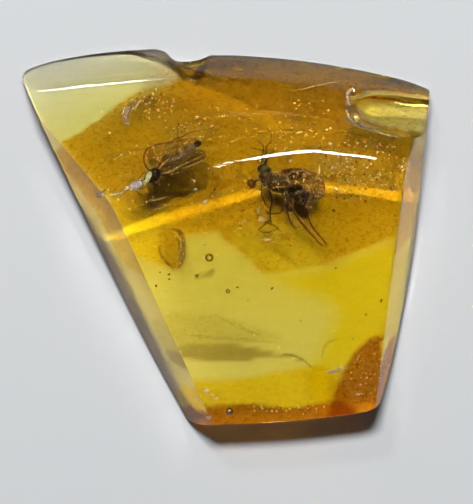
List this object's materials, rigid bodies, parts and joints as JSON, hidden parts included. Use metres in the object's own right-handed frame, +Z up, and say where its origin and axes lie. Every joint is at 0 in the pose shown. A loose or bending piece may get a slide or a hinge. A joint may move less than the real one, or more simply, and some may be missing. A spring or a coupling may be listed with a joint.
{
  "type": "insect in amber",
  "caption": "Polished slip of clear golden amber, ridged on top and flat underneath, with a gnat and a fly sealed inside it; it lies on its flat underside.",
  "frame": {"origin": "under the middle of the slip's bounding box, on its flat underside", "axes": "+X to the slip's right and +Y to its notched upper edge as seen from above, +Z up"},
  "size_m": [0.0286, 0.0264, 0.0052],
  "materials": {
    "clear_amber": "polished clear amber, with ground bevels",
    "gnat_brown": "dull brown insect skin",
    "fly_brown": "dull dark brown insect skin"
  },
  "bodies": {
    "root": {"amber_lower": "clear_amber", "amber_upper": "clear_amber", "gnat": "gnat_brown", "fly": "fly_brown"}
  },
  "joints": []
}
